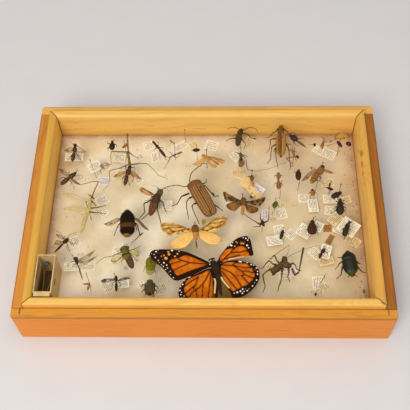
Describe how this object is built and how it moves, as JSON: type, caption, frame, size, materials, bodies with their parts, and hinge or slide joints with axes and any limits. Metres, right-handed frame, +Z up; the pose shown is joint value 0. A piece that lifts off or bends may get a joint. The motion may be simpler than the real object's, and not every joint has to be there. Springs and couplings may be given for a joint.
{
  "type": "insect collection drawer",
  "caption": "Open wooden insect drawer with a raised inner liner and a paper-lined pinning bottom, filled with pinned dried insects and a small card box.",
  "frame": {"origin": "centre of the tray's underside", "axes": "+X to the tray's right along its long side, +Y to its back, +Z up out of the open top"},
  "size_m": [0.3302, 0.2286, 0.05],
  "materials": {
    "front_pine": "clear varnish, worn",
    "side_pine": "clear varnish, worn",
    "liner_pine": "clear varnish",
    "plywood": "bare",
    "foam": "foamed sheet",
    "lining_paper": "matt, aged",
    "card": "folded card",
    "pin_steel": "dull",
    "label_paper": null,
    "monarch_scales": "scaled wing membrane",
    "moth_scales": "scaled wing membrane",
    "clear_wing": "thin membrane",
    "brown_cuticle": "dry insect cuticle",
    "dark_cuticle": "glossy insect cuticle",
    "green_cuticle": "glossy insect cuticle",
    "pale_cuticle": "dry insect cuticle",
    "bee_hair": "fine hair"
  },
  "bodies": {
    "root": {"front_board": "front_pine", "back_board": "front_pine", "left_board": "side_pine", "right_board": "side_pine", "front_liner": "liner_pine", "back_liner": "liner_pine", "left_liner": "liner_pine", "right_liner": "liner_pine", "bottom_panel": "plywood", "pinning_foam": "foam", "lining_paper": "lining_paper", "card_box": "card", "monarch_butterfly": "monarch_scales", "yellow_moth": "moth_scales", "brown_moth": "moth_scales", "cream_moth": "moth_scales", "amber_moth": "moth_scales", "broad_brown_beetle": "brown_cuticle", "golden_longhorn_beetle": "brown_cuticle", "grey_longhorn_beetle": "dark_cuticle", "green_scarab_beetle": "green_cuticle", "dark_green_beetle": "green_cuticle", "green_stink_bug": "green_cuticle", "brown_shield_bug": "brown_cuticle", "black_ground_beetle": "dark_cuticle", "black_click_beetle": "dark_cuticle", "black_leaf_beetle": "dark_cuticle", "bumblebee": "bee_hair", "brown_bee": "brown_cuticle", "amber_winged_wasp": "dark_cuticle", "dark_cricket": "dark_cuticle", "spiny_bush_cricket": "brown_cuticle", "green_cicada": "green_cuticle", "pale_mantis": "pale_cuticle", "stick_insect": "brown_cuticle", "monarch_butterfly_pin": "pin_steel", "yellow_moth_pin": "pin_steel", "brown_moth_pin": "pin_steel", "cream_moth_pin": "pin_steel", "amber_moth_pin": "pin_steel", "broad_brown_beetle_pin": "pin_steel", "golden_longhorn_beetle_pin": "pin_steel", "grey_longhorn_beetle_pin": "pin_steel", "green_scarab_beetle_pin": "pin_steel", "dark_green_beetle_pin": "pin_steel", "green_stink_bug_pin": "pin_steel", "brown_shield_bug_pin": "pin_steel", "black_ground_beetle_pin": "pin_steel", "black_click_beetle_pin": "pin_steel", "black_leaf_beetle_pin": "pin_steel", "bumblebee_pin": "pin_steel", "brown_bee_pin": "pin_steel", "amber_winged_wasp_pin": "pin_steel", "dark_cricket_pin": "pin_steel", "spiny_bush_cricket_pin": "pin_steel", "green_cicada_pin": "pin_steel", "pale_mantis_pin": "pin_steel", "stick_insect_pin": "pin_steel"}
  },
  "joints": []
}
